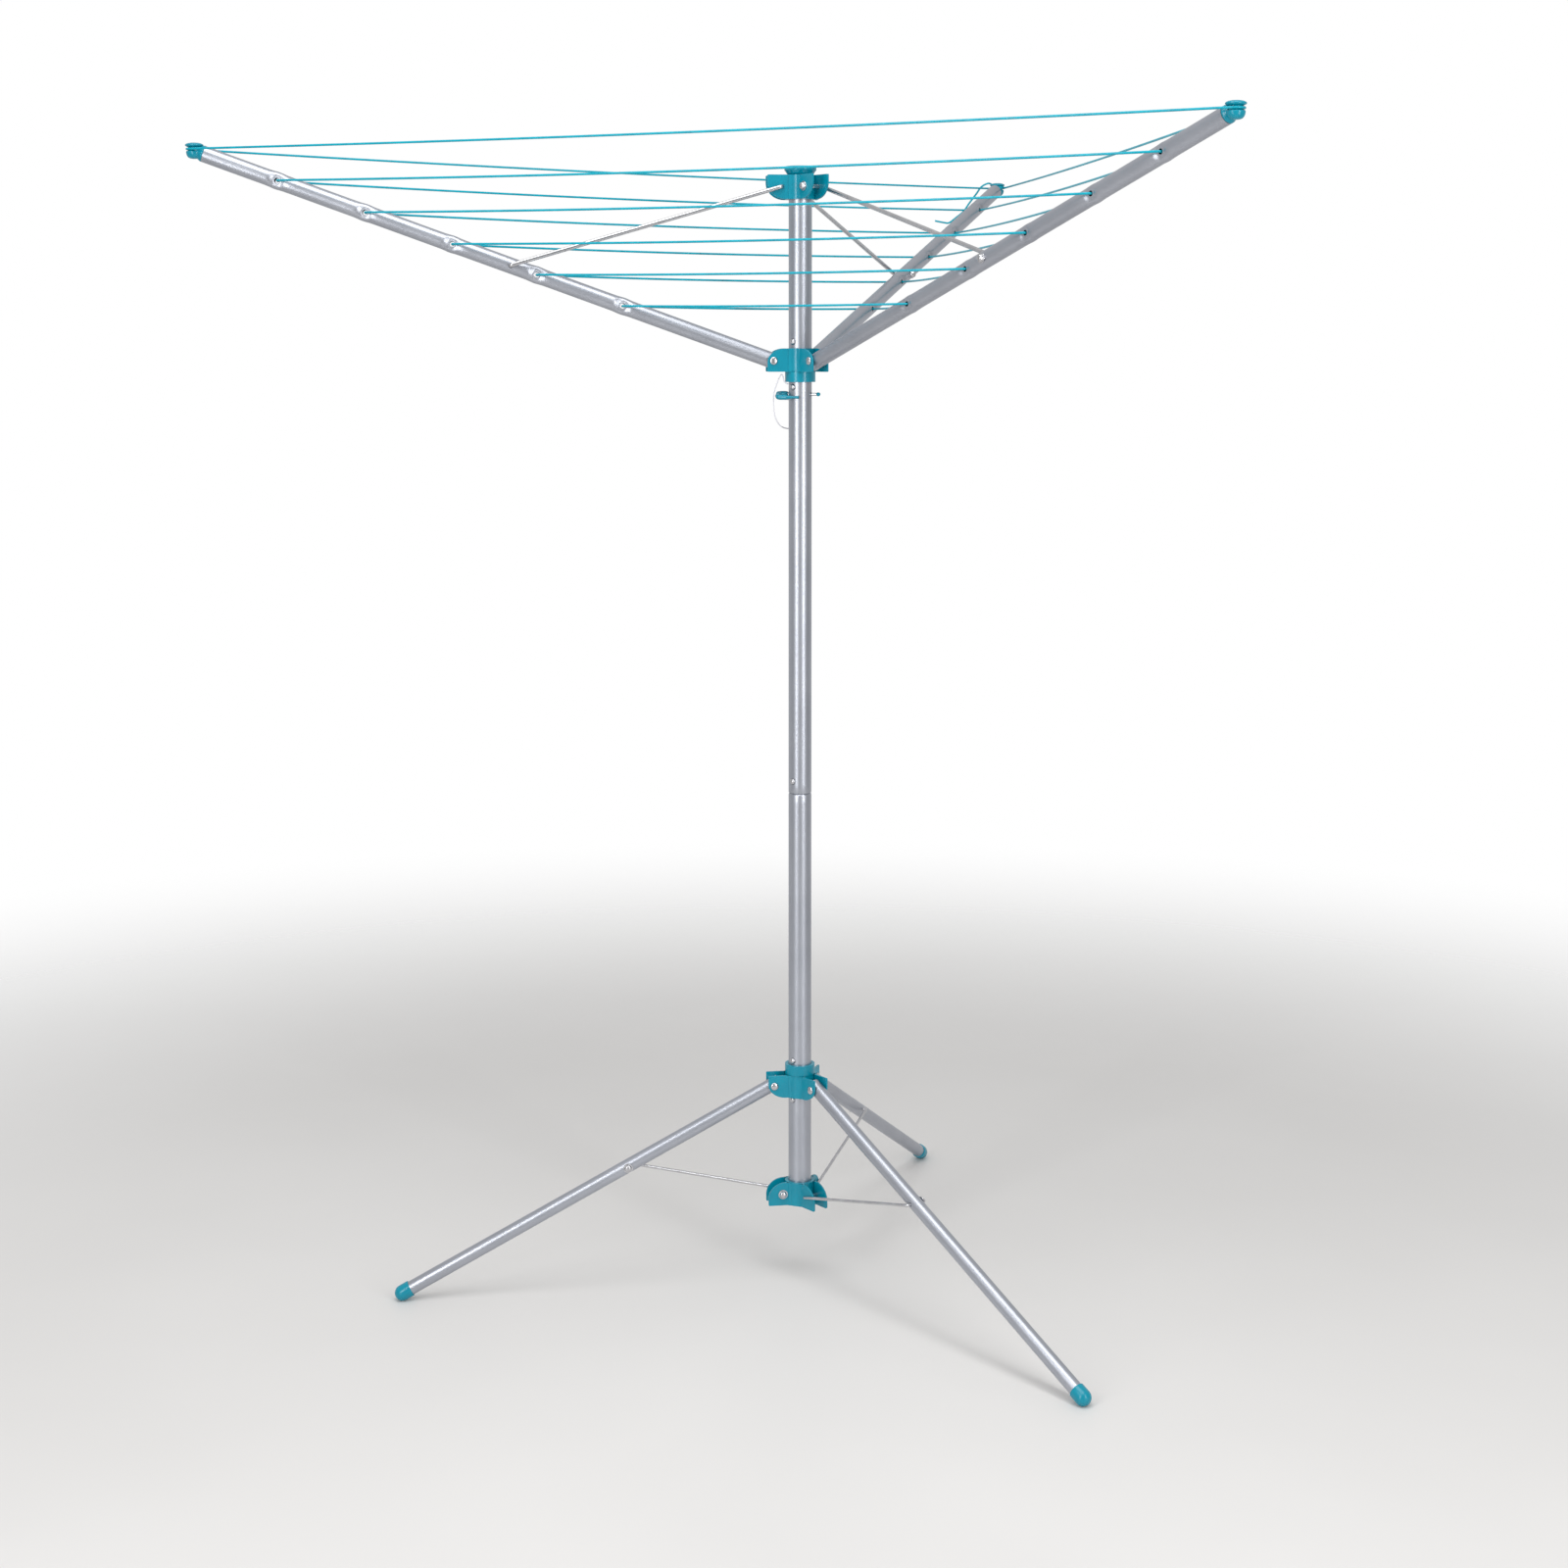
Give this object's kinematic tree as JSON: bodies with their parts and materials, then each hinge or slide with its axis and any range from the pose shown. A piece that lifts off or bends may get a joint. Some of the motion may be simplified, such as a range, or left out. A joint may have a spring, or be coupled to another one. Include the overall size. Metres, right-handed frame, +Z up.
{
  "type": "rotary clothesline",
  "caption": "Free-standing rotary clothesline with folding arms strung with line, on a two-part tubular mast and folding tripod.",
  "frame": {"origin": "on the floor at the mast's axis", "axes": "+Z up along the mast; one leg points along -X, and the arms' head is turned 3.1 degrees clockwise from the legs"},
  "size_m": [1.281, 1.4496, 1.5943],
  "materials": {
    "aluminium": "satin anodised",
    "plastic": "moulded, half gloss",
    "steel": "bright zinc plated",
    "line": "smooth coated line",
    "cord": "thin braided cord"
  },
  "bodies": {
    "base": {"lower_mast_tube": "aluminium", "bottom_hub": "plastic"},
    "leg_slider": {"leg_hub": "plastic", "leg_1_pivot_rivet": "steel", "leg_2_pivot_rivet": "steel", "leg_3_pivot_rivet": "steel"},
    "head": {"upper_mast_tube": "aluminium", "top_hub": "plastic", "mast_top_cap": "plastic", "clothesline": "line"},
    "arm_slider": {"arm_hub": "plastic", "arm_1_pivot_rivet": "steel", "arm_2_pivot_rivet": "steel", "arm_3_pivot_rivet": "steel"},
    "pin": {"locking_pin": "steel", "locking_pin_tip": "plastic", "locking_pin_handle": "plastic", "tether_cord": "cord"},
    "leg_1": {"leg_1_tube": "aluminium", "foot_cap_1": "plastic", "leg_stay_1_leg_pin": "steel"},
    "leg_brace_1": {"leg_stay_1": "steel", "leg_stay_1_hub_nut": "steel"},
    "leg_2": {"leg_2_tube": "aluminium", "foot_cap_2": "plastic", "leg_stay_2_leg_pin": "steel"},
    "leg_brace_2": {"leg_stay_2": "steel", "leg_stay_2_hub_nut": "steel"},
    "leg_3": {"leg_3_tube": "aluminium", "foot_cap_3": "plastic", "leg_stay_3_leg_pin": "steel"},
    "leg_brace_3": {"leg_stay_3": "steel", "leg_stay_3_hub_nut": "steel"},
    "arm_1": {"arm_1_tube": "aluminium", "arm_tip_cap_1": "plastic", "arm_stay_1_arm_pin": "steel"},
    "arm_brace_1": {"arm_stay_1": "steel", "arm_stay_1_hub_nut": "steel"},
    "arm_2": {"arm_2_tube": "aluminium", "arm_tip_cap_2": "plastic", "arm_stay_2_arm_pin": "steel"},
    "arm_brace_2": {"arm_stay_2": "steel", "arm_stay_2_hub_nut": "steel"},
    "arm_3": {"arm_3_tube": "aluminium", "arm_tip_cap_3": "plastic", "arm_stay_3_arm_pin": "steel"},
    "arm_brace_3": {"arm_stay_3": "steel", "arm_stay_3_hub_nut": "steel"},
    "leg_hub_lower_button_stud": {"leg_hub_lower_button": "steel"},
    "leg_hub_upper_button_stud": {"leg_hub_upper_button": "steel"},
    "mast_joint_button_stud": {"mast_joint_button": "steel"},
    "arm_hub_lower_button_stud": {"arm_hub_lower_button": "steel"},
    "arm_hub_upper_button_stud": {"arm_hub_upper_button": "steel"}
  },
  "joints": [
    {"name": "leg_hub_slide", "type": "slide", "parent": "base", "child": "leg_slider", "axis": [0, 0, 1], "range_m": [0, 0.3011]},
    {"name": "leg_1_fold", "type": "hinge", "parent": "leg_slider", "child": "leg_1", "pos_m": [-0.038, 0, 0.283], "axis": [0, -1, 0], "range_deg": [0, 61.41]},
    {"name": "leg_brace_1_fold", "type": "hinge", "parent": "base", "child": "leg_brace_1", "pos_m": [-0.026, 0, 0.126], "axis": [0, 1, 0], "range_deg": [0, 73.4]},
    {"name": "leg_2_fold", "type": "hinge", "parent": "leg_slider", "child": "leg_2", "pos_m": [0.019, -0.03291, 0.283], "axis": [0.866, 0.5, 0], "range_deg": [0, 61.41]},
    {"name": "leg_brace_2_fold", "type": "hinge", "parent": "base", "child": "leg_brace_2", "pos_m": [0.013, -0.02252, 0.126], "axis": [-0.866, -0.5, 0], "range_deg": [0, 73.4]},
    {"name": "leg_3_fold", "type": "hinge", "parent": "leg_slider", "child": "leg_3", "pos_m": [0.019, 0.03291, 0.283], "axis": [-0.866, 0.5, 0], "range_deg": [0, 61.41]},
    {"name": "leg_brace_3_fold", "type": "hinge", "parent": "base", "child": "leg_brace_3", "pos_m": [0.013, 0.02252, 0.126], "axis": [0.866, -0.5, 0], "range_deg": [0, 73.4]},
    {"name": "head_spin", "type": "hinge", "parent": "base", "child": "head", "pos_m": [0, 0, 0.73], "axis": [0, 0, 1], "continuous": true},
    {"name": "arm_hub_slide", "type": "slide", "parent": "head", "child": "arm_slider", "axis": [0, 0, 1], "range_m": [-0.52716, 0], "deforming": ["clothesline", "tether_cord"]},
    {"name": "arm_1_fold", "type": "hinge", "parent": "arm_slider", "child": "arm_1", "pos_m": [-0.03794, 0.00205, 1.302], "axis": [0.0541, 0.9985, 0], "range_deg": [0, 68.66]},
    {"name": "arm_brace_1_fold", "type": "hinge", "parent": "head", "child": "arm_brace_1", "pos_m": [-0.02596, 0.00141, 1.539], "axis": [-0.0541, -0.9985, 0], "range_deg": [0, 70.43]},
    {"name": "arm_2_fold", "type": "hinge", "parent": "arm_slider", "child": "arm_2", "pos_m": [0.01719, -0.03389, 1.302], "axis": [-0.8918, -0.4524, 0], "range_deg": [0, 68.66]},
    {"name": "arm_brace_2_fold", "type": "hinge", "parent": "head", "child": "arm_brace_2", "pos_m": [0.01176, -0.02319, 1.539], "axis": [0.8918, 0.4524, 0], "range_deg": [0, 70.43]},
    {"name": "arm_3_fold", "type": "hinge", "parent": "arm_slider", "child": "arm_3", "pos_m": [0.02075, 0.03183, 1.302], "axis": [0.8377, -0.5461, 0], "range_deg": [0, 68.66]},
    {"name": "arm_brace_3_fold", "type": "hinge", "parent": "head", "child": "arm_brace_3", "pos_m": [0.0142, 0.02178, 1.539], "axis": [-0.8377, 0.5461, 0], "range_deg": [0, 70.43]},
    {"name": "leg_hub_lower_button_press", "type": "slide", "parent": "base", "child": "leg_hub_lower_button_stud", "axis": [-0.7593, -0.6508, 0], "range_m": [-0.0025, 0], "stiffness_N_per_m": 800, "springref_m": 0.0005},
    {"name": "leg_hub_upper_button_press", "type": "slide", "parent": "base", "child": "leg_hub_upper_button_stud", "axis": [-0.7593, -0.6508, 0], "range_m": [-0.0025, 0], "stiffness_N_per_m": 800, "springref_m": 0.0005},
    {"name": "mast_joint_button_press", "type": "slide", "parent": "head", "child": "mast_joint_button_stud", "axis": [-0.7593, -0.6508, 0], "range_m": [-0.0018, 0], "stiffness_N_per_m": 800, "springref_m": 0.0005},
    {"name": "arm_hub_lower_button_press", "type": "slide", "parent": "head", "child": "arm_hub_lower_button_stud", "axis": [-0.7593, -0.6508, 0], "range_m": [-0.0025, 0], "stiffness_N_per_m": 800, "springref_m": 0.0005},
    {"name": "arm_hub_upper_button_press", "type": "slide", "parent": "head", "child": "arm_hub_upper_button_stud", "axis": [-0.7593, -0.6508, 0], "range_m": [-0.0025, 0], "stiffness_N_per_m": 800, "springref_m": 0.0005},
    {"name": "locking_pin_pull", "type": "slide", "parent": "head", "child": "pin", "axis": [-0.9107, 0.4131, 0], "range_m": [0, 0.055]}
  ],
  "couplings": [
    {"joint": "leg_1_fold", "follows": "leg_hub_slide", "rad_per_m": 3.5596},
    {"joint": "leg_brace_1_fold", "follows": "leg_hub_slide", "rad_per_m": 4.2547},
    {"joint": "leg_2_fold", "follows": "leg_hub_slide", "rad_per_m": 3.5596},
    {"joint": "leg_brace_2_fold", "follows": "leg_hub_slide", "rad_per_m": 4.2547},
    {"joint": "leg_3_fold", "follows": "leg_hub_slide", "rad_per_m": 3.5596},
    {"joint": "leg_brace_3_fold", "follows": "leg_hub_slide", "rad_per_m": 4.2547},
    {"joint": "arm_1_fold", "follows": "arm_hub_slide", "rad_per_m": -2.2732},
    {"joint": "arm_brace_1_fold", "follows": "arm_hub_slide", "rad_per_m": -2.3319},
    {"joint": "arm_2_fold", "follows": "arm_hub_slide", "rad_per_m": -2.2732},
    {"joint": "arm_brace_2_fold", "follows": "arm_hub_slide", "rad_per_m": -2.3319},
    {"joint": "arm_3_fold", "follows": "arm_hub_slide", "rad_per_m": -2.2732},
    {"joint": "arm_brace_3_fold", "follows": "arm_hub_slide", "rad_per_m": -2.3319}
  ]
}
